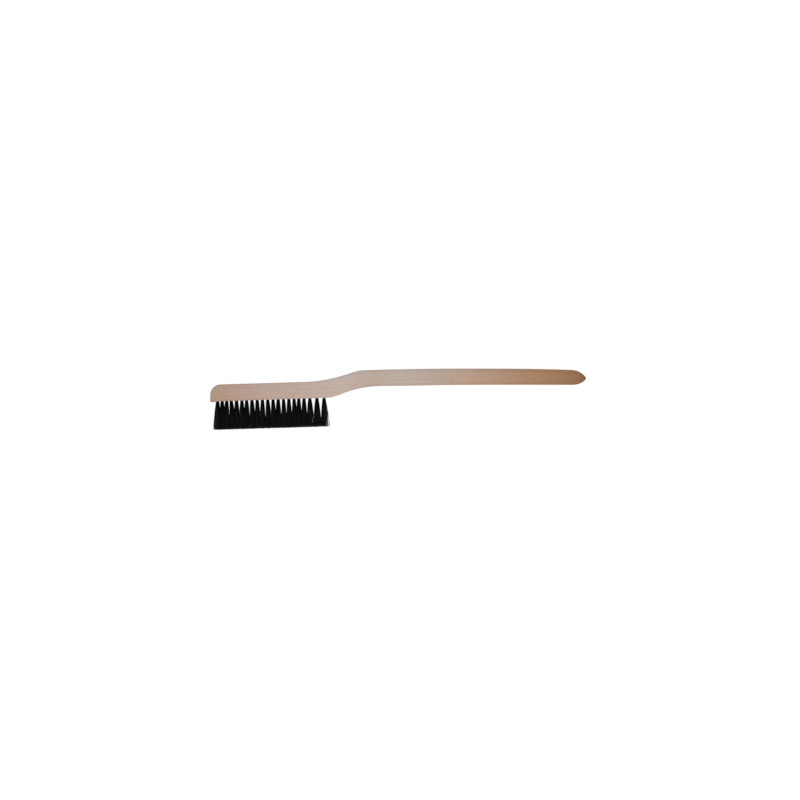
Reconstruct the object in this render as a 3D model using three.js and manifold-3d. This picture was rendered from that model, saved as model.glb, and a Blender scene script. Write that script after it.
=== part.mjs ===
// A long-handled hand wire brush with two rows of wire tufts, lying on its side.
//
// One piece of beech makes both the block and the handle. Blind holes are drilled into the
// block's face in two rows, and each holds a tuft: straight black steel wires, folded over a flat
// steel anchor that is driven to the bottom of the hole and bites into the wood on both sides.
//
// Millimetres. +X runs from the block's nose to the handle's end, +Y from the wire tips to the
// brush's back, and +Z up. The origin is under the middle of the brush, on the surface it lies on.
import * as THREE from 'three';
import { LoftGeometry } from 'three/addons/geometries/LoftGeometry.js';
import { mergeVertices } from 'three/addons/utils/BufferGeometryUtils.js';
import Module from 'manifold-3d';

const wasm = await Module();
wasm.setup();

// Driving dimensions. Heights are measured from the block's face at the first tufts, and x from
// the nose.
const LENGTH = 351;
const WIDTH = 16;
const TRIM = 26.25; // free length of the wires, from the block's face to their tips
const BLOCK_HEIGHT = 15.75;
const CREST = 25.05; // the handle's highest point, just behind the neck

// The handle's side outline, as the few points that its two edges pass through.
const BACK_EDGE = [
  [90, BLOCK_HEIGHT],
  [97.5, 16.05],
  [108.5, 17.3],
  [120.5, 19.75],
  [130.5, 22.45],
  [136.5, 24.25],
  [140.5, CREST - 0.15],
  [146.5, CREST],
  [222, 24.15],
  [318, 20.75],
  [LENGTH, 18.65],
];
const FACE_EDGE = [
  [8, 0],
  [104, 0.3],
  [110, 0.3],
  [120, 2.65],
  [127, 5.2],
  [135, 7.35],
  [145, 9.05],
  [156, 9.8],
  [176, 9.45],
  [222, 8.85],
  [270, 7.7],
  [LENGTH, 5.15],
];
const NOSE_RADIUS = 10; // the nose's upper corner, seen from the side
const NOSE_FOOT_RADIUS = 0.5; // its lower corner
const NOSE_SIDE_RADIUS = 2; // its two upright corners
const NOSE_LIP = { height: 0.6, from: 5, to: 7.4 }; // the foot stands below the face, and eases into it
const TAIL = { length: 12.5, halfHeight: 7.5, tip: 11.35, flat: 0.12 }; // flat: share left on the very end
const BLOCK_BACK_RADIUS = 2.5;
const BLOCK_FACE_RADIUS = 1;
const GRIP_RADIUS = 4.5;
const NECK = [100, 165]; // where the edges' rounding grows from the block's to the grip's
const CORNER_STEPS = 4;
const BEND = [90, 160]; // the curved stretch, where the cross-sections are close together
const SECTIONS = { nose: 12, bend: 26, grip: 14, tail: 10 }; // how many each stretch has

// Tufts, holes and anchors.
const ROW_SPACING = 6;
const FIRST_HOLE = 6.3;
// The holes aren't evenly spaced: they are closer at the nose, wider at the heel, and two of the
// gaps along the middle are narrower than the rest.
const HOLE_GAPS = [
  { count: 3, pitch: 4.25 },
  { count: 2, pitch: 4.95 },
  { count: 1, pitch: 4.45 },
  { count: 9, pitch: 4.93 },
  { count: 1, pitch: 4.4 },
  { count: 1, pitch: 4.9 },
  { count: 1, pitch: 5.4 },
  { count: 2, pitch: 6.65 },
];
const HOLE_RADIUS = 1.5;
const HOLE_DEPTH = 11;
const ROOT_RADIUS = 1.4;
const ROOT_LENGTH = 10.6;
const MOUTH = 0.6; // how far below the face wires start to fan out
const SPREAD = Math.tan(THREE.MathUtils.degToRad(7)); // how fast wires fan out between tufts
const FREE_DEPTH = 15.5; // where wires with no neighbour stop fanning out
const HALF_GAP = 0.15; // half the space between two tufts where their wires meet
const NOSE_REACH = 3.9; // from the first hole to the outermost tip beside it
const HEEL_REACH = 3.5; // the same beyond the last hole
const SIDE_REACH = 4.3; // and towards the brush's two sides
const ANCHOR = { length: 3.9, height: 1.8, thickness: 0.5, below: 0.6 };
const SLIT = { length: 4.4, thickness: 1.0, margin: 0.3 };
const ROUND_SEGMENTS = 12;
const TIP_POWER = 0.6; // makes the section at the tips squarer than a circle, whose power is 1
const MERGE_DISTANCE = 1e-4;
const TUFT_LEVELS = [TRIM, FREE_DEPTH, 11, 6.5, MOUTH, -ROOT_LENGTH]; // depths below the block's face

const BEECH = new THREE.MeshStandardMaterial({ color: 0xbaa393, roughness: 0.6, metalness: 0 });
const BLACK_WIRE = new THREE.MeshStandardMaterial({ color: 0x141716, roughness: 0.45, metalness: 0.6 });

// A three.js geometry as a manifold-3d solid, and back.
function solid(geometry) {
  const bare = new THREE.BufferGeometry();
  bare.setAttribute('position', geometry.getAttribute('position'));
  bare.setIndex(geometry.index);
  const merged = mergeVertices(bare, MERGE_DISTANCE);
  return new wasm.Manifold(new wasm.Mesh({
    numProp: 3,
    vertProperties: merged.attributes.position.array,
    triVerts: new Uint32Array(merged.index.array),
  }));
}

function geometryOf(body) {
  const { vertProperties, triVerts } = body.getMesh();
  const geometry = new THREE.BufferGeometry();
  geometry.setAttribute('position', new THREE.BufferAttribute(vertProperties, 3));
  geometry.setIndex(new THREE.BufferAttribute(triVerts, 1));
  geometry.computeVertexNormals();
  return geometry;
}

function box(sizeX, sizeY, sizeZ, x, y, z) {
  return new THREE.BoxGeometry(sizeX, sizeY, sizeZ).translate(x, y, z);
}

// The height of an edge at x: a cubic curve through its points, and level before the first.
function edge(points) {
  const curve = new THREE.CubicInterpolant(points.map(([x]) => x), points.map(([, y]) => y), 1);
  const [start, height] = points[0];
  return (x) => (x <= start ? height : curve.evaluate(x)[0]);
}

const backEdge = edge(BACK_EDGE);
const faceEdge = edge(FACE_EDGE);

// What an edge loses at a distance x from an end that is rounded by a radius.
function roundingInset(x, radius) {
  return x >= radius ? 0 : radius - Math.sqrt(radius ** 2 - (radius - x) ** 2);
}

// One cross-section of the wood: a rectangle with its corners rounded, counterclockwise seen
// from the handle's end.
function woodSection(x, low, high, halfWidth, lowRadius, highRadius) {
  const corners = [
    [high - highRadius, halfWidth - highRadius, highRadius],
    [low + lowRadius, halfWidth - lowRadius, lowRadius],
    [low + lowRadius, lowRadius - halfWidth, lowRadius],
    [high - highRadius, highRadius - halfWidth, highRadius],
  ];
  return corners.flatMap(([y, z, radius], corner) =>
    Array.from({ length: CORNER_STEPS + 1 }, (_, step) => {
      const angle = (corner + step / CORNER_STEPS) * Math.PI / 2;
      return new THREE.Vector3(x, y + radius * Math.cos(angle), z + radius * Math.sin(angle));
    }));
}

// The section at x along the block and the grip, before the tail.
function bodySection(x) {
  const neck = THREE.MathUtils.smoothstep(x, ...NECK);
  const lip = NOSE_LIP.height * (1 - THREE.MathUtils.smoothstep(x, NOSE_LIP.from, NOSE_LIP.to));
  const low = faceEdge(x) - lip + roundingInset(x, NOSE_FOOT_RADIUS);
  const high = backEdge(x) - roundingInset(x, NOSE_RADIUS);
  const halfWidth = WIDTH / 2 - roundingInset(x, NOSE_SIDE_RADIUS);
  const lowRadius = THREE.MathUtils.lerp(BLOCK_FACE_RADIUS, GRIP_RADIUS, neck);
  const highRadius = THREE.MathUtils.lerp(BLOCK_BACK_RADIUS, GRIP_RADIUS, neck);
  return woodSection(x, low, high, halfWidth, lowRadius, highRadius);
}

// The tail's sections shrink towards its tip along an arc, as a bullet's do. The arc starts level
// with the grip and ends at the flat.
function tailSection(turn) {
  const drop = TAIL.halfHeight * (1 - TAIL.flat);
  const radius = (TAIL.length ** 2 + drop ** 2) / (2 * drop);
  const angle = turn * Math.asin(TAIL.length / radius);
  const x = LENGTH - TAIL.length + radius * Math.sin(angle);
  const scale = 1 - radius * (1 - Math.cos(angle)) / TAIL.halfHeight;
  return bodySection(x).map(({ y, z }) =>
    new THREE.Vector3(x, TAIL.tip + (y - TAIL.tip) * scale, z * scale));
}

function stations(from, to, count) {
  return Array.from({ length: count }, (_, i) => from + (to - from) * i / count);
}

function handleSolid() {
  const noseTurns = stations(0, Math.PI / 2, SECTIONS.nose);
  const nose = noseTurns.map((turn) => NOSE_RADIUS * (1 - Math.cos(turn)));
  const bend = stations(...BEND, SECTIONS.bend);
  const grip = stations(BEND[1], LENGTH - TAIL.length, SECTIONS.grip);
  const along = [...nose, NOSE_RADIUS, ...bend, ...grip];
  const tail = [...stations(0, 1, SECTIONS.tail), 1];
  const sections = [...along.map(bodySection), ...tail.map(tailSection)];
  return solid(new LoftGeometry(sections, { capStart: true, capEnd: true }));
}

// The x of each hole, from the nose.
function holePlaces() {
  const places = [FIRST_HOLE];
  for (const { count, pitch } of HOLE_GAPS) {
    for (let i = 0; i < count; i++) places.push(places.at(-1) + pitch);
  }
  return places;
}

// A blind hole with the slit that the anchor cuts on its way in.
function holeCutter(x, z) {
  const mouth = 1; // how far the cutters start below the block's face
  const height = HOLE_DEPTH + mouth;
  const round = new THREE.CylinderGeometry(HOLE_RADIUS, HOLE_RADIUS, height, ROUND_SEGMENTS);
  round.translate(x, height / 2 - mouth, z);
  const slitHeight = ROOT_LENGTH - ANCHOR.below + SLIT.margin + mouth;
  const slit = box(SLIT.thickness, slitHeight, SLIT.length, x, slitHeight / 2 - mouth, z);
  return solid(round).add(solid(slit));
}

// How far a tuft gets to one side at a depth. It stops at half the way to a neighbour, or on a
// free side at what its tips reach.
function fanned(depth, side) {
  const below = Math.max(depth - MOUTH, 0);
  if (!side.free) return Math.min(ROOT_RADIUS + SPREAD * below, side.reach);
  return THREE.MathUtils.lerp(ROOT_RADIUS, side.reach, Math.min(below / (FREE_DEPTH - MOUTH), 1));
}

// One tuft: a round root in its hole, then wires that fan out until they meet their neighbours'.
// sides has what is towards -X, +X, -Z and +Z.
function tuftSolid(x, z, sides) {
  const section = (depth) => {
    const power = THREE.MathUtils.lerp(1, TIP_POWER, THREE.MathUtils.smoothstep(depth, 0, TRIM));
    return Array.from({ length: ROUND_SEGMENTS }, (_, i) => {
      const angle = i / ROUND_SEGMENTS * Math.PI * 2;
      const [across, along] = [Math.sin(angle), Math.cos(angle)];
      const reachX = fanned(depth, across < 0 ? sides.nose : sides.heel);
      const reachZ = fanned(depth, along < 0 ? sides.down : sides.up);
      const dx = Math.sign(across) * reachX * Math.abs(across) ** power;
      const dz = Math.sign(along) * reachZ * Math.abs(along) ** power;
      return new THREE.Vector3(x + dx, -depth, z + dz);
    });
  };
  const wires = new LoftGeometry(TUFT_LEVELS.map(section), { capStart: true, capEnd: true });
  const anchorMiddle = ROOT_LENGTH - ANCHOR.below - ANCHOR.height / 2;
  const anchor = box(ANCHOR.thickness, ANCHOR.height, ANCHOR.length, x, anchorMiddle, z);
  return solid(wires).add(solid(anchor));
}

function addMesh(group, name, body, material) {
  const mesh = new THREE.Mesh(geometryOf(body), material);
  mesh.name = name;
  group.add(mesh);
}

// What a tuft has on each side: the middle of the way to the next tuft, or nothing.
function tuftSides(places, i, rowZ) {
  const inner = { free: false, reach: ROW_SPACING / 2 - HALF_GAP };
  const outer = { free: true, reach: SIDE_REACH };
  const towards = (other, freeReach) => {
    if (other === undefined) return { free: true, reach: freeReach };
    return { free: false, reach: Math.abs(other - places[i]) / 2 - HALF_GAP };
  };
  return {
    nose: towards(places[i - 1], NOSE_REACH),
    heel: towards(places[i + 1], HEEL_REACH),
    down: rowZ < 0 ? outer : inner,
    up: rowZ < 0 ? inner : outer,
  };
}

function wireBrush() {
  const brush = new THREE.Group();
  const places = holePlaces();
  const rows = [
    { name: 'lower_row', z: -ROW_SPACING / 2 },
    { name: 'upper_row', z: ROW_SPACING / 2 },
  ];
  let wood = handleSolid();
  for (const row of rows) {
    places.forEach((x, i) => {
      wood = wood.subtract(holeCutter(x, row.z));
      const number = String(i + 1).padStart(2, '0');
      const tuft = tuftSolid(x, row.z, tuftSides(places, i, row.z));
      addMesh(brush, `${row.name}_tuft_${number}`, tuft, BLACK_WIRE);
    });
  }
  addMesh(brush, 'handle', wood, BEECH);
  const bounds = new THREE.Box3().setFromObject(brush);
  const middle = bounds.getCenter(new THREE.Vector3());
  brush.position.set(-middle.x, -middle.y, -bounds.min.z);
  return brush;
}

export default wireBrush();
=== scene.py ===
"""A long-handled hand wire brush lying on its side: a beech handle with tufts of black steel wire.

Everything is in metres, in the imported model's frame: +X from the block's nose to the handle's end,
+Y from the wire tips to the brush's back, and +Z up from the floor.
"""

import math
import random

import bpy
import numpy as np
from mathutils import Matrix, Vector, noise
from mathutils.bvhtree import BVHTree


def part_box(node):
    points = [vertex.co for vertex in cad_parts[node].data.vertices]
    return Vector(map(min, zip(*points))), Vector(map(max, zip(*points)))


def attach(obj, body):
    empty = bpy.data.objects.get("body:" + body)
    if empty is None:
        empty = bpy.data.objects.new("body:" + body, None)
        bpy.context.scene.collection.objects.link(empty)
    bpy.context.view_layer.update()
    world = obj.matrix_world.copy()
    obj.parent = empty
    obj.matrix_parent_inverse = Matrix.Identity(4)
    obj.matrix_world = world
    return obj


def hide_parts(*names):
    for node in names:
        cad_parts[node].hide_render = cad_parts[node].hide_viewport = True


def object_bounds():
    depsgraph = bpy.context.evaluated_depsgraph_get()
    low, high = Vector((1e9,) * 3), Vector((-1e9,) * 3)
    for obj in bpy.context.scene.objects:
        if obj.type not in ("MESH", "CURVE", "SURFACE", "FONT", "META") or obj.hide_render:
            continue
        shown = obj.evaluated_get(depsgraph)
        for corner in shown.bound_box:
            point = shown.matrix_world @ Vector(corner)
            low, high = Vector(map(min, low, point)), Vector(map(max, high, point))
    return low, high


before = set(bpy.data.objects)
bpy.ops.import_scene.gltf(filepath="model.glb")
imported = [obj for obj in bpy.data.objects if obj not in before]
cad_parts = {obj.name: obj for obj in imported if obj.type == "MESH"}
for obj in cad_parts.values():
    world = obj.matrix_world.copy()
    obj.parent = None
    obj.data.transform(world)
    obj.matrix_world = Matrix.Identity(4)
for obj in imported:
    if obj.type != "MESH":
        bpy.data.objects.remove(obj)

CAD_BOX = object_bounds()
MM = 0.001

# The handle's edges. The rest of its shape is read off the CAD handle.
NOSE_RADIUS = 10 * MM
TAIL_LENGTH = 12.5 * MM
BLOCK_FACE_RADIUS = 1.0 * MM
BLOCK_BACK_RADIUS = 2.5 * MM
GRIP_RADIUS = 4.5 * MM
NECK = (-75 * MM, -10 * MM)  # where the edges' rounding grows from the block's to the grip's
STATION_STEP = 1.5 * MM
END_STATIONS = 36
CORNER_STEPS = 10
FLAT_STEPS = 4
SANDING_WAVE = 0.05 * MM  # how far hand sanding leaves the wood off true
SANDING_WAVES = (28, 90, 90)  # how many waves there are in a metre, along each axis
SANDED_CREASE = math.radians(38)  # edges of the wood sharper than this stay crisp

# Holes, anchors and wires.
HOLE_RADIUS = 1.5 * MM
HOLE_SIDES = 28
HOLE_FLOOR = 0.4 * MM  # from the top of a tuft's root to the bottom of its hole
SLIT = (0.6 * MM, 4.3 * MM)  # thickness and length
CUTTER_START = 1 * MM  # how far outside the wood the hole cutter starts
ANCHOR = (0.5 * MM, 1.8 * MM, 3.9 * MM)  # thickness, height and length
ANCHOR_BELOW_ROOT = 0.6 * MM
ANCHOR_BEVEL = 0.08 * MM
ANCHOR_CREASE = math.radians(30)
WIRES_PER_TUFT = 30
WIRE_RADIUS = 0.15 * MM
WIRE_SIDES = 5
WIRE_LEVELS = (1, 0.74, 0.5, 0.3, 0.14, 0)  # a strand's points, as shares of its free length
ROOT_RADIUS = 1.2 * MM  # the circle that holds the wires' centre lines in a hole
SPREAD = math.tan(math.radians(7))  # how fast wires fan out between two tufts
MEET_SHARE = 0.75  # where on their length the wires of two tufts have met at the latest
FREE_SHARE = 0.6  # where on their length wires with no neighbour stop fanning out
FREE_KNEE = 4  # how sharply those straighten
TIP_SQUARENESS = 1.2  # how much further a tuft reaches in its corners at the tips
COLUMN_SWAY = 0.06 * MM  # how far the middle of a pair of tufts leans to one side
# Gaps that stay open deeper than the rest, counted from the nose, and how far the tufts on both
# sides of each lean away from it.
OPEN_GAPS = ((3, 0.45 * MM), (7, 0.04 * MM), (10, 0.1 * MM))
TIP_SCATTER = 0.22 * MM
TIP_UNEVENNESS = 0.25 * MM
LEAN_POWER = 1.5  # how late on its length a wire starts to lean
WIRE_BOW = 0.1 * MM
STRAY_SHARE = 0.025
STRAY_LEAN = 1.1 * MM
END_SPOT = 0.6  # how far out in the first or last tuft a strand counts as an end strand
END_STRAY_SHARE = 0.12  # more of the end strands stray
END_STRAY_LEAN = (0.4, 1.0)  # the least and most they lean, as shares of STRAY_LEAN
FOLD_LEG = 1 * MM  # how far past the anchor the fold's two legs are drawn
FOLD_SHOULDER = 0.7  # the point half way up each side of the fold's bend, as a share of its reach and rise
SPOT_TRIES = 12  # how many random spots are tried for each wire, to keep the one furthest from others
FLOOR_CLEARANCE = 0.25 * MM
SEED = 7

# The floor's mesh.
RIM_STEPS = 9
FLOOR_SIDES = 96


def smoothstep(value, low, high):
    t = np.clip((value - low) / (high - low), 0, 1)
    return t * t * (3 - 2 * t)


def linear(red, green, blue):
    """A display colour, 0 to 255, as the linear colour that shaders take."""
    parts = (c / 255 for c in (red, green, blue))
    return tuple(c / 12.92 if c <= 0.04045 else ((c + 0.055) / 1.055) ** 2.4 for c in parts) + (1,)


# ---------------------------------------------------------------- materials

class Shader:
    """A node material, with short ways to add its nodes."""

    def __init__(self, name):
        self.material = bpy.data.materials.new(name)
        self.material.use_nodes = True
        self.tree = self.material.node_tree
        self.tree.nodes.clear()
        self.bsdf = self.node("ShaderNodeBsdfPrincipled")
        output = self.node("ShaderNodeOutputMaterial")
        self.tree.links.new(self.bsdf.outputs["BSDF"], output.inputs["Surface"])

    def node(self, kind, inputs=None, **settings):
        made = self.tree.nodes.new(kind)
        for name, value in settings.items():
            setattr(made, name, value)
        for name, value in (inputs or {}).items():
            self.put(value, made.inputs[name])
        return made

    def put(self, value, socket):
        if isinstance(value, bpy.types.NodeSocket):
            self.tree.links.new(value, socket)
        else:
            socket.default_value = value

    def set(self, **values):
        for name, value in values.items():
            self.put(value, self.bsdf.inputs[name.replace("_", " ")])

    def math(self, operation, a, b=0.0):
        return self.node("ShaderNodeMath", {0: a, 1: b}, operation=operation).outputs[0]

    def vector(self, operation, a, b=(0, 0, 0)):
        made = self.node("ShaderNodeVectorMath", {0: a, 1: b}, operation=operation)
        return made.outputs["Value" if operation == "LENGTH" else "Vector"]

    def noise(self, vector, scale, detail=2.0, roughness=0.5):
        inputs = {"Vector": vector, "Scale": scale, "Detail": detail, "Roughness": roughness}
        return self.node("ShaderNodeTexNoise", inputs).outputs["Fac"]

    def remap(self, value, from_min, from_max, to_min=0.0, to_max=1.0, kind="SMOOTHSTEP"):
        inputs = {0: value, 1: from_min, 2: from_max, 3: to_min, 4: to_max}
        return self.node("ShaderNodeMapRange", inputs, interpolation_type=kind).outputs[0]

    def ramp(self, factor, stops):
        made = self.node("ShaderNodeValToRGB", {"Fac": factor})
        elements = made.color_ramp.elements
        while len(elements) < len(stops):
            elements.new(0.5)
        for element, (position, colour) in zip(elements, stops):
            element.position = position
            element.color = colour
        return made.outputs["Color"]

    def mix(self, kind, factor, a, b):
        made = self.node("ShaderNodeMix", data_type="RGBA", blend_type=kind)
        for name, value in (("Factor_Float", factor), ("A_Color", a), ("B_Color", b)):
            self.put(value, next(s for s in made.inputs if s.identifier == name))
        return next(s for s in made.outputs if s.identifier == "Result_Color")

    def shade(self, colour, amount):
        """Multiplies a colour by a grey amount."""
        grey = self.node("ShaderNodeCombineColor", {0: amount, 1: amount, 2: amount})
        return self.mix("MULTIPLY", 1.0, colour, grey.outputs[0])


def millimetres(shader):
    """The place in the frame, in millimetres, so that texture sizes read as real ones."""
    place = shader.node("ShaderNodeTexCoord").outputs["Object"]
    made = shader.node("ShaderNodeVectorMath", {0: place, "Scale": 1000.0}, operation="SCALE")
    return made.outputs["Vector"]


def stretched(shader, place, along, across):
    """Coordinates for grain: a pattern that is 1/along long and 1/across wide, in millimetres."""
    return shader.vector("MULTIPLY", place, (along, across, across))


# The wood's colour along the brush, as a share of its length from the nose: palest at the neck with
# a browner patch in the bend, and more and more orange towards the end, where hands and old lacquer
# have darkened it.
BEECH_ALONG = (
    (0.00, linear(164, 139, 119)),
    (0.15, linear(176, 154, 143)),
    (0.35, linear(182, 168, 162)),
    (0.43, linear(177, 159, 146)),
    (0.51, linear(178, 164, 153)),
    (0.69, linear(173, 147, 128)),
    (0.92, linear(149, 113, 82)),
    (1.00, linear(134, 100, 66)),
)


# The growth rings, in millimetres.
RING_WIDTH = 2.3
RING_WANDER = 9.0
RING_STRETCH = 0.012  # how fast rings change along the grain, as a share of across it
PITH_OFFSET = (0, 64, 92)  # from the pith to the frame's origin


def beech():
    shader = Shader("beech")
    place = millimetres(shader)
    split = shader.node("ShaderNodeSeparateXYZ", {0: place})
    half_length = CAD_BOX[1].x / MM
    along = shader.remap(split.outputs["X"], -half_length, half_length, kind="LINEAR")
    colour = shader.ramp(along, BEECH_ALONG)

    # Growth rings round a pith well below the board, wandering slowly along the grain.
    wander = shader.noise(stretched(shader, place, 0.006, 0.03), 1.0, 2.0)
    from_pith = shader.vector("ADD", place, PITH_OFFSET)
    across = shader.vector("MULTIPLY", from_pith, (RING_STRETCH, 1, 1))
    wandering = shader.math("MULTIPLY", wander, RING_WANDER)
    radius = shader.math("ADD", shader.vector("LENGTH", across), wandering)
    wave = shader.math("SINE", shader.math("MULTIPLY", radius, 2 * math.pi / RING_WIDTH))
    late_wood = shader.remap(wave, 0.1, 1.0)

    # Long fibres, fine pores and the short dark rays that mark beech.
    fibres = shader.noise(stretched(shader, place, 0.03, 1.3), 1.0, 5.0, 0.6)
    pores = shader.noise(stretched(shader, place, 0.22, 6.0), 1.0, 3.0, 0.6)
    ray_noise = shader.noise(stretched(shader, place, 0.55, 3.4), 1.0, 1.0)
    rays = shader.remap(ray_noise, 0.62, 0.70)
    patches = shader.noise(stretched(shader, place, 0.012, 0.06), 1.0, 2.0)

    warm = shader.mix("MULTIPLY", 1.0, colour, (1.03, 0.985, 0.93, 1))
    pale = shader.mix("MULTIPLY", 1.0, colour, (0.99, 1.01, 1.05, 1))
    colour = shader.mix("MIX", shader.remap(patches, 0.35, 0.65), warm, pale)
    colour = shader.shade(colour, shader.remap(late_wood, 0, 1, 1.01, 0.96, "LINEAR"))
    colour = shader.shade(colour, shader.remap(fibres, 0.25, 0.75, 0.93, 1.06, "LINEAR"))
    colour = shader.shade(colour, shader.remap(pores, 0.3, 0.7, 0.97, 1.03, "LINEAR"))
    ray_share = shader.math("MULTIPLY", rays, 0.5)
    colour = shader.mix("MULTIPLY", ray_share, colour, (0.68, 0.52, 0.42, 1))

    # End grain soaks up more finish and dirt, so it is darker. The narrow faces, which point to the
    # brush's back or its wire tips, get a little painted shade.
    normal = shader.node("ShaderNodeNewGeometry").outputs["Normal"]
    facing = shader.node("ShaderNodeSeparateXYZ", {0: normal})
    end_grain = shader.remap(shader.math("ABSOLUTE", facing.outputs["X"]), 0.35, 0.95)
    narrow_face_shade = shader.remap(shader.math("ABSOLUTE", facing.outputs["Y"]), 0.3, 0.95)
    colour = shader.shade(colour, shader.remap(end_grain, 0, 1, 1.0, 0.76, "LINEAR"))
    # Painted shade: faces that point along Y are made a little darker.
    colour = shader.shade(colour, shader.remap(narrow_face_shade, 0, 1, 1.0, 0.96, "LINEAR"))

    fibre_height = shader.math("MULTIPLY", fibres, 0.5)
    height = shader.math("ADD", fibre_height, shader.math("MULTIPLY", pores, 0.3))
    height = shader.math("SUBTRACT", height, shader.math("MULTIPLY", rays, 0.15))
    inputs = {"Height": height, "Strength": 0.35, "Distance": 0.12 * MM}
    shader.set(
        Base_Color=colour,
        Roughness=shader.remap(pores, 0.3, 0.7, 0.5, 0.64, "LINEAR"),
        Specular_IOR_Level=0.15,
        Normal=shader.node("ShaderNodeBump", inputs).outputs["Normal"],
    )
    return shader.material


def black_wire():
    shader = Shader("black_wire")
    tone = shader.node("ShaderNodeAttribute", attribute_name="tone").outputs["Fac"]
    scale_noise = shader.noise(stretched(shader, millimetres(shader), 1.5, 0.35), 1.0, 2.0)
    bare = shader.remap(shader.math("MULTIPLY", tone, scale_noise), 0.1, 0.6)
    colour = shader.ramp(bare, ((0.0, linear(4, 8, 7)), (1.0, linear(16, 22, 20))))

    # Painted shade: the wires are darker and less glossy near where they leave the block, where the tufts
    # and the wood shade them.
    height = shader.node("ShaderNodeSeparateXYZ", {0: millimetres(shader)}).outputs["Y"]
    tip, root = CAD_BOX[0].y / MM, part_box("handle")[0].y / MM
    unshaded_from = root + (tip - root) * 0.6
    root_shade_fade = shader.remap(height, root, unshaded_from)
    shader.set(
        Base_Color=shader.shade(colour, shader.remap(root_shade_fade, 0, 1, 0.4, 1.0, "LINEAR")),
        Metallic=0.2,
        Roughness=shader.remap(scale_noise, 0.3, 0.7, 0.42, 0.6, "LINEAR"),
        Specular_IOR_Level=shader.remap(root_shade_fade, 0, 1, 0.04, 0.12, "LINEAR"),
    )
    return shader.material


def cut_steel():
    """The bare ends where the wires were trimmed."""
    shader = Shader("cut_steel")
    spots = shader.noise(millimetres(shader), 2.5, 2.0)
    shader.set(
        Base_Color=shader.ramp(spots, ((0.3, linear(70, 72, 74)), (0.7, linear(128, 130, 132)))),
        Metallic=0.9,
        Roughness=0.45,
    )
    return shader.material


def anchor_steel():
    shader = Shader("anchor_steel")
    spots = shader.noise(millimetres(shader), 1.2, 3.0)
    shader.set(
        Base_Color=shader.ramp(spots, ((0.3, linear(120, 122, 124)), (0.7, linear(165, 167, 168)))),
        Metallic=0.95,
        Roughness=shader.remap(spots, 0.3, 0.7, 0.35, 0.5, "LINEAR"),
    )
    return shader.material


def floor_paint():
    """A matt floor that glows evenly, as a light table does, so that the brush casts no shadow."""
    shader = Shader("floor_paint")
    mottle = shader.noise(millimetres(shader), 0.02, 3.0)
    dark, light = (0.055, 0.055, 0.055, 1), (0.065, 0.065, 0.065, 1)
    shader.set(
        Base_Color=shader.ramp(mottle, ((0.3, dark), (0.7, light))),
        Roughness=0.9,
        Specular_IOR_Level=0.0,
        Emission_Color=(1, 1, 1, 1),
        Emission_Strength=0.97,
    )
    return shader.material


# ---------------------------------------------------------------- meshes

def add_piece(name, vertices, faces, materials):
    """A smooth-shaded mesh that rides on the brush's one body."""
    mesh = bpy.data.meshes.new(name)
    mesh.from_pydata([tuple(v) for v in vertices], [], faces)
    for material in materials:
        mesh.materials.append(material)
    piece = bpy.data.objects.new(name, mesh)
    bpy.context.scene.collection.objects.link(piece)
    mesh.shade_smooth()
    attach(piece, "root")
    return piece


def tube_faces(rings, sides):
    """The quads between the rings of a tube, each ring being the next run of vertices."""
    faces = []
    for start in range(0, (rings - 1) * sides, sides):
        for side in range(sides):
            following = (side + 1) % sides
            ahead = start + sides
            faces.append((start + side, start + following, ahead + following, ahead + side))
    return faces


# ---------------------------------------------------------------- the handle

def surface_of(node):
    """A CAD node's surface, for casting rays at."""
    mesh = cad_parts[node].data
    corners = [v.co for v in mesh.vertices]
    return BVHTree.FromPolygons(corners, [tuple(p.vertices) for p in mesh.polygons])


def handle_stations():
    """The x of each cross-section, closer together where an end rounds over."""
    low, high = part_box("handle")
    hair = 1e-6  # keeps the rays of both ends on the wood
    turns = np.linspace(0, math.pi / 2, END_STATIONS)
    nose = low.x + hair + NOSE_RADIUS * (1 - np.cos(turns))
    tail = high.x - hair - TAIL_LENGTH + TAIL_LENGTH * np.sin(turns)
    count = round((tail[0] - nose[-1]) / STATION_STEP)
    return np.concatenate([nose, np.linspace(nose[-1], tail[0], count + 1)[1:-1], tail])


def traced_edges(stations):
    """The heights of the face's and the back's edges, and half the width, at each station."""
    surface = surface_of("handle")
    low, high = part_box("handle")
    middle = (low.z + high.z) / 2
    rows = []
    for x in stations:
        face = surface.ray_cast(Vector((x, low.y - 1, middle)), Vector((0, 1, 0)))[0].y
        back = surface.ray_cast(Vector((x, high.y + 1, middle)), Vector((0, -1, 0)))[0].y
        side = surface.ray_cast(Vector((x, (face + back) / 2, high.z + 1)), Vector((0, 0, -1)))[0].z
        rows.append((face, back, side - middle))
    return np.array(rows)


def smoothed(rows, passes=2):
    """Takes the facets out of traced edges, leaving both ends where they are."""
    rows = rows.copy()
    for _ in range(passes):
        rows[1:-1] = rows[:-2] * 0.25 + rows[1:-1] * 0.5 + rows[2:] * 0.25
    return rows


def between(start, end):
    """The points that divide a flat stretch of a section."""
    return [start + (end - start) * i / FLAT_STEPS for i in range(1, FLAT_STEPS)]


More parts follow.
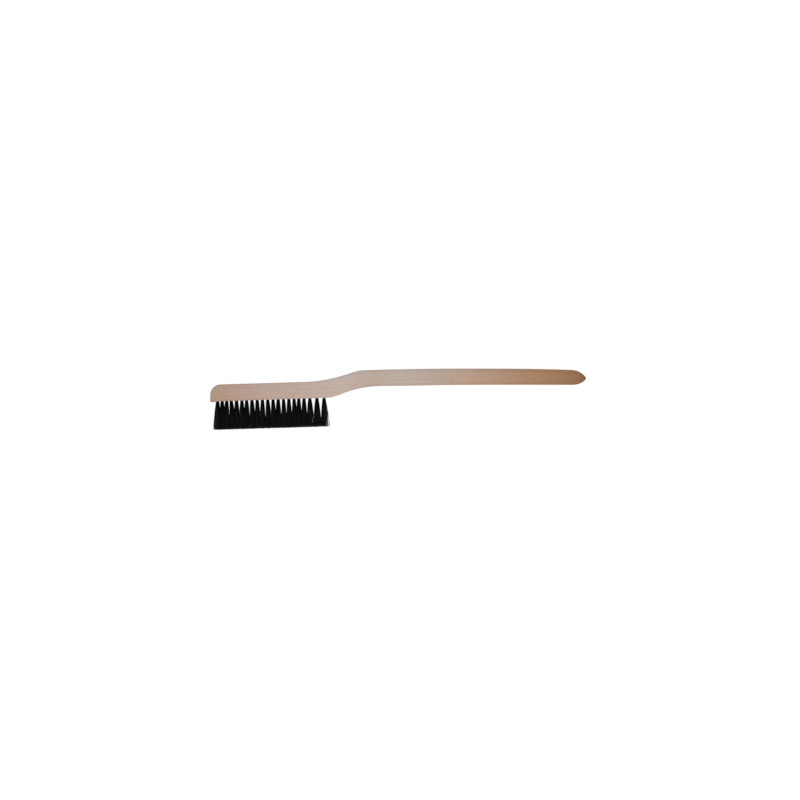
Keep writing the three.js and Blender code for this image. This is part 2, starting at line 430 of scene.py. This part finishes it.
def wood_ring(x, face, back, half_width, full_half_width):
    """One rounded-rectangle section, counterclockwise seen from the handle's end.

    Its corners grow along the neck, and shrink with the width over the tail.
    """
    neck = smoothstep(x, *NECK)
    tail = half_width / full_half_width if x > 0 else 1.0
    face_radius = (BLOCK_FACE_RADIUS + (GRIP_RADIUS - BLOCK_FACE_RADIUS) * neck) * tail
    back_radius = (BLOCK_BACK_RADIUS + (GRIP_RADIUS - BLOCK_BACK_RADIUS) * neck) * tail
    corners = (
        (back - back_radius, half_width - back_radius, back_radius),
        (face + face_radius, half_width - face_radius, face_radius),
        (face + face_radius, face_radius - half_width, face_radius),
        (back - back_radius, back_radius - half_width, back_radius),
    )
    ring = []
    for corner, (y, z, radius) in enumerate(corners):
        turns = (corner + np.linspace(0, 1, CORNER_STEPS + 1)) * math.pi / 2
        arc = np.stack([y + radius * np.cos(turns), z + radius * np.sin(turns)], axis=1)
        if ring:
            ring.extend(between(ring[-1], arc[0]))
        ring.extend(arc)
    ring.extend(between(ring[-1], ring[0]))
    return ring


def sanded(points):
    """Moves the wood's surface by a hair, in slow waves, as sanding by hand does."""
    noise.seed_set(SEED)  # otherwise the waves depend on the clock
    moved = []
    for point in points:
        slow = noise.noise_vector(Vector(c * waves for c, waves in zip(point, SANDING_WAVES)))
        moved.append(Vector(point) + slow * SANDING_WAVE)
    return moved


def solid_handle():
    """The wood before drilling: vertices and faces."""
    stations = handle_stations()
    edges = smoothed(traced_edges(stations))
    low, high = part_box("handle")
    middle = (low.z + high.z) / 2
    full_half_width = (high.z - low.z) / 2
    points = []
    for x, (face, back, half_width) in zip(stations, edges):
        ring = wood_ring(x, face, back, half_width, full_half_width)
        points.extend((x, y, middle + z) for y, z in ring)
    sides = len(points) // len(stations)
    faces = tube_faces(len(stations), sides)
    faces.append(tuple(reversed(range(sides))))
    faces.append(tuple(range(len(points) - sides, len(points))))
    return sanded(points), [tuple(reversed(f)) for f in faces]


def keyhole():
    """A hole's outline with its anchor's slit, as (x, z) offsets: a circle with two ears."""
    half_slit, ear = SLIT[0] / 2, SLIT[1] / 2
    start = math.asin(half_slit / HOLE_RADIUS)
    arc = np.linspace(start, math.pi - start, HOLE_SIDES // 2)
    right = [(HOLE_RADIUS * math.sin(a), HOLE_RADIUS * math.cos(a)) for a in arc]
    outline = [(half_slit, ear), *right, (half_slit, -ear)]
    return outline + [(-x, -z) for x, z in outline]


def hole_cutter(roots):
    """One closed prism for every hole."""
    outline = keyhole()
    sides = len(outline)
    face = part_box("handle")[0].y
    points, faces = [], []
    for root in roots:
        first = len(points)
        for y in (face - CUTTER_START, root.y + HOLE_FLOOR):
            points.extend((root.x + x, y, root.z + z) for x, z in outline)
        faces.extend(tuple(first + i for i in quad) for quad in tube_faces(2, sides))
        faces.append(tuple(first + i for i in reversed(range(sides))))
        faces.append(tuple(first + sides + i for i in range(sides)))
    mesh = bpy.data.meshes.new("hole_cutter")
    mesh.from_pydata(points, [], faces)
    cutter = bpy.data.objects.new("hole_cutter", mesh)
    bpy.context.scene.collection.objects.link(cutter)
    return cutter


def make_handle(roots):
    points, faces = solid_handle()
    piece = add_piece("beech_handle", points, faces, [beech()])
    cutter = hole_cutter(roots)
    cut = piece.modifiers.new("holes", "BOOLEAN")
    cut.operation = "DIFFERENCE"
    cut.solver = "EXACT"
    cut.object = cutter
    depsgraph = bpy.context.evaluated_depsgraph_get()
    drilled = bpy.data.meshes.new_from_object(piece.evaluated_get(depsgraph), depsgraph=depsgraph)
    piece.modifiers.remove(cut)
    piece.data = drilled
    bpy.data.objects.remove(cutter)
    drilled.shade_smooth()
    drilled.set_sharp_from_angle(angle=SANDED_CREASE)
    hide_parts("handle")


# ---------------------------------------------------------------- tufts and anchors

def tuft_nodes():
    return sorted(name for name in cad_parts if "tuft" in name)


def face_at(surface, x):
    """The height of the block's face at x, between the two rows of holes."""
    low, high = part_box("handle")
    below = Vector((x, low.y - 1, (low.z + high.z) / 2))
    return surface.ray_cast(below, Vector((0, 1, 0)))[0].y


def root_of(node):
    """The middle of the top of a CAD tuft's root, inside its hole."""
    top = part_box(node)[1].y
    level = 0.01 * MM
    points = [v.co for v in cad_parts[node].data.vertices if top - v.co.y < level]
    low = Vector(map(min, *points))
    high = Vector(map(max, *points))
    return (low + high) / 2


def envelope(depth, reach, free):
    """How far a tuft reaches to one side at a depth below the wood.

    Wires that meet a neighbouring tuft turn parallel to it. On a free side they fan out further
    before they straighten.
    """
    grow = reach - ROOT_RADIUS
    below = np.maximum(depth, 0)
    if free:
        share = below / (FREE_SHARE * max(depth))
        return ROOT_RADIUS + grow * share / (1 + share**FREE_KNEE) ** (1 / FREE_KNEE)
    meet = min(2 * grow / SPREAD, MEET_SHARE * max(depth))
    share = np.minimum(below / meet, 1)
    return ROOT_RADIUS + grow * (2 * share - share**2)


def half_disc_spots(count, chance):
    """Evenly scattered spots in the half of a unit disc where u is positive."""
    spots = []
    while len(spots) < count:
        tries = []
        for _ in range(SPOT_TRIES):
            radius = math.sqrt(chance.random())
            turn = chance.uniform(-math.pi / 2, math.pi / 2)
            tries.append((radius * math.cos(turn), radius * math.sin(turn)))
        if spots:
            tries.sort(key=lambda t: min(math.dist(t, s) for s in spots))
        spots.append(tries[-1])
    return spots


class Tuft:
    """Where one tuft's wires go, from its CAD solid."""

    def __init__(self, node, surface, first, last, sway):
        low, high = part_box(node)
        self.sway = sway
        self.root = root_of(node)
        self.tip_y = low.y
        self.face_y = face_at(surface, self.root.x)
        self.middle_z = (CAD_BOX[0].z + CAD_BOX[1].z) / 2
        self.depths = (self.face_y - self.tip_y) * np.array(WIRE_LEVELS)
        self.left = envelope(self.depths, self.root.x - low.x, first)
        self.right = envelope(self.depths, high.x - self.root.x, last)
        self.down = envelope(self.depths, self.root.z - low.z, self.root.z < self.middle_z)
        self.up = envelope(self.depths, high.z - self.root.z, self.root.z > self.middle_z)
        self.first = first
        self.last = last

    def strand(self, u, v, chance):
        """The points of one strand from its tip up to the hole's mouth."""
        share = self.depths / self.depths[0]
        squarer = 1 + TIP_SQUARENESS * share * u * u * v * v
        across = np.where(u < 0, self.left, self.right) * u * squarer
        upward = np.where(v < 0, self.down, self.up) * v * squarer
        lean_x, lean_z = chance.gauss(0, TIP_SCATTER), chance.gauss(0, TIP_SCATTER)
        if chance.random() < STRAY_SHARE:
            lean_x += chance.gauss(0, STRAY_LEAN)
        at_end = (self.first and u < -END_SPOT) or (self.last and u > END_SPOT)
        if at_end and chance.random() < END_STRAY_SHARE:
            lean_x += math.copysign(chance.uniform(*END_STRAY_LEAN) * STRAY_LEAN, u)
        bow = np.sin(share * math.pi)
        lean = share**LEAN_POWER
        x = self.root.x + across + lean_x * lean + (self.sway + chance.gauss(0, WIRE_BOW)) * bow
        z = self.root.z + upward + lean_z * lean + chance.gauss(0, WIRE_BOW) * bow
        z = np.clip(z, FLOOR_CLEARANCE, 2 * self.middle_z - FLOOR_CLEARANCE)
        y = self.face_y - self.depths
        y[0] = self.tip_y + chance.gauss(0, TIP_UNEVENNESS)
        return np.stack([x, y, z], axis=1)

    def fold(self, u, v):
        """The points where a wire goes round its anchor, from its first strand to its second."""
        anchor_top = self.root.y - ANCHOR_BELOW_ROOT
        inner = ANCHOR[0] / 2 + WIRE_RADIUS
        reach = inner + (ROOT_RADIUS - inner) * abs(u)
        rise = WIRE_RADIUS + (ANCHOR_BELOW_ROOT - 2 * WIRE_RADIUS) * abs(u)
        side = math.copysign(1, u)
        z = self.root.z + v * ROOT_RADIUS
        low = anchor_top - ANCHOR[1] - FOLD_LEG
        shoulder = (side * reach * FOLD_SHOULDER, anchor_top + rise * FOLD_SHOULDER)
        there = [(side * reach, low), (side * reach, anchor_top), shoulder]
        back = [(-x, y) for x, y in reversed(there)]
        points = [*there, (0, anchor_top + rise), *back]
        return np.array([(self.root.x + x, y, z) for x, y in points])

    def wires(self, chance):
        """The centre lines of all the tuft's wires, as an array of wire, point and axis."""
        lines = []
        for u, v in half_disc_spots(WIRES_PER_TUFT, chance):
            first = self.strand(u, v, chance)
            second = self.strand(-u, v, chance)
            lines.append(np.concatenate([first, self.fold(u, v), second[::-1]]))
        return np.array(lines)


def wire_rings(lines):
    """The vertices of the tubes round centre lines, as wire, point, side and axis."""
    ahead = np.gradient(lines, axis=1)
    ahead /= np.linalg.norm(ahead, axis=2, keepdims=True)
    up = np.array([0.0, 0.0, 1.0]) - ahead * ahead[:, :, 2:3]
    up /= np.linalg.norm(up, axis=2, keepdims=True)
    out = np.cross(ahead, up)
    turns = np.arange(WIRE_SIDES) * 2 * math.pi / WIRE_SIDES
    rim = np.cos(turns)[:, None] * out[:, :, None] + np.sin(turns)[:, None] * up[:, :, None]
    return lines[:, :, None] + WIRE_RADIUS * rim


def make_tuft(node, tuft, materials, chance):
    rings = wire_rings(tuft.wires(chance))
    wires, count = rings.shape[:2]
    quads = tube_faces(count, WIRE_SIDES)
    faces = []
    for wire in range(wires):
        start = wire * count * WIRE_SIDES
        end = start + (count - 1) * WIRE_SIDES
        faces.extend(tuple(start + i for i in quad) for quad in quads)
        faces.append(tuple(reversed(range(start, start + WIRE_SIDES))))
        faces.append(tuple(range(end, end + WIRE_SIDES)))
    name = node.replace("tuft", "wires")
    piece = add_piece(name, rings.reshape(-1, 3), faces, materials)
    for face in piece.data.polygons:
        if len(face.vertices) == WIRE_SIDES:
            face.material_index = 1
            face.use_smooth = False
    tones = np.repeat([chance.random() for _ in range(wires)], count * WIRE_SIDES)
    tone = piece.data.attributes.new("tone", "FLOAT", "POINT")
    tone.data.foreach_set("value", tones.astype(np.float32))
    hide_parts(node)


def column_sways(columns, chance):
    """How far the middle of each pair of tufts leans towards the handle's end."""
    sways = [chance.gauss(0, COLUMN_SWAY) for _ in range(columns)]
    for gap, lean in OPEN_GAPS:
        sways[gap - 1] -= lean
        sways[gap] += lean
    return sways


def make_tufts():
    materials = [black_wire(), cut_steel()]
    nodes = tuft_nodes()
    columns = len(nodes) // 2
    sways = column_sways(columns, random.Random(SEED))
    surface = surface_of("handle")
    for number, node in enumerate(nodes):
        column = number % columns
        tuft = Tuft(node, surface, column == 0, column == columns - 1, sways[column])
        make_tuft(node, tuft, materials, random.Random(SEED + number))


def make_anchors(roots):
    """The flat steel anchors, one in each hole, with their edges taken off."""
    points, faces = [], []
    half_x, half_y, half_z = (size / 2 for size in ANCHOR)
    inset = ANCHOR_BEVEL
    rims = ((-half_z, inset), (inset - half_z, 0), (half_z - inset, 0), (half_z, inset))
    for root in roots:
        first = len(points)
        middle = root - Vector((0, ANCHOR_BELOW_ROOT + half_y, 0))
        for z, shrink in rims:
            across, tall = half_x - shrink, half_y - shrink
            rim = [(across, tall), (-across, tall), (-across, -tall), (across, -tall)]
            points.extend(middle + Vector((x, y, z)) for x, y in rim)
        faces.extend(tuple(first + i for i in quad) for quad in tube_faces(4, 4))
        faces.append(tuple(first + i for i in (3, 2, 1, 0)))
        faces.append(tuple(first + i for i in (12, 13, 14, 15)))
    piece = add_piece("anchor_staples", points, faces, [anchor_steel()])
    piece.data.set_sharp_from_angle(angle=ANCHOR_CREASE)


# ---------------------------------------------------------------- floor, lights and camera

def make_floor():
    """A round floor whose rim curves up all round into a low backdrop."""
    flat, rim = 6.0, 2.0  # the flat part's radius, and the radius that the rim curves up by
    turns = np.linspace(0, math.pi / 2, RIM_STEPS)
    rings = zip(flat + rim * np.sin(turns), rim * (1 - np.cos(turns)))
    around = [(math.cos(a), math.sin(a)) for a in np.arange(FLOOR_SIDES) * 2 * math.pi / FLOOR_SIDES]
    points = [(radius * x, radius * y, height) for radius, height in rings for x, y in around]
    faces = [tuple(reversed(face)) for face in tube_faces(RIM_STEPS, FLOOR_SIDES)]
    faces.append(tuple(range(FLOOR_SIDES)))
    mesh = bpy.data.meshes.new("floor")
    mesh.from_pydata(points, [], faces)
    mesh.materials.append(floor_paint())
    mesh.shade_smooth()
    floor = bpy.data.objects.new("floor", mesh)
    bpy.context.scene.collection.objects.link(floor)


def add_light(name, place, size, power):
    lamp = bpy.data.lights.new(name, "AREA")
    lamp.shape = "SQUARE"
    lamp.size = size
    lamp.energy = power
    light = bpy.data.objects.new(name, lamp)
    light.location = place
    light.rotation_euler = (-Vector(place)).to_track_quat("-Z", "Y").to_euler()
    bpy.context.scene.collection.objects.link(light)


def make_lights():
    add_light("key", (0.5, -0.6, 2.4), 1.8, 21)
    add_light("fill", (-0.9, 0.6, 2.2), 1.8, 9)
    add_light("overhead", (0.0, 0.0, 2.6), 2.2, 16.5)
    world = bpy.data.worlds.new("studio")
    world.use_nodes = True
    background = world.node_tree.nodes["Background"]
    background.inputs["Color"].default_value = (1, 1, 1, 1)
    background.inputs["Strength"].default_value = 0.5
    bpy.context.scene.world = world
    bpy.context.scene.view_settings.view_transform = "Standard"


def make_camera():
    """Straight above the brush, turned so that the handle rises a little to the right."""
    roll = math.radians(-1.7)
    frame_width = 0.745  # what the camera sees across, at the brush
    aim_right, aim_up = 1.35 * MM, -3.15 * MM
    data = bpy.data.cameras.new("camera")
    data.lens = 100
    data.sensor_width = 36
    data.clip_end = 50
    camera = bpy.data.objects.new("camera", data)
    height = frame_width * data.lens / data.sensor_width
    right = Vector((math.cos(roll), math.sin(roll), 0))
    up = Vector((-math.sin(roll), math.cos(roll), 0))
    camera.location = right * aim_right + up * aim_up + Vector((0, 0, CAD_BOX[1].z + height))
    camera.rotation_euler = (0, 0, roll)
    bpy.context.scene.collection.objects.link(camera)
    bpy.context.scene.camera = camera


make_camera()
make_floor()
make_lights()
tuft_roots = [root_of(node) for node in tuft_nodes()]
make_handle(tuft_roots)
make_anchors(tuft_roots)
make_tufts()
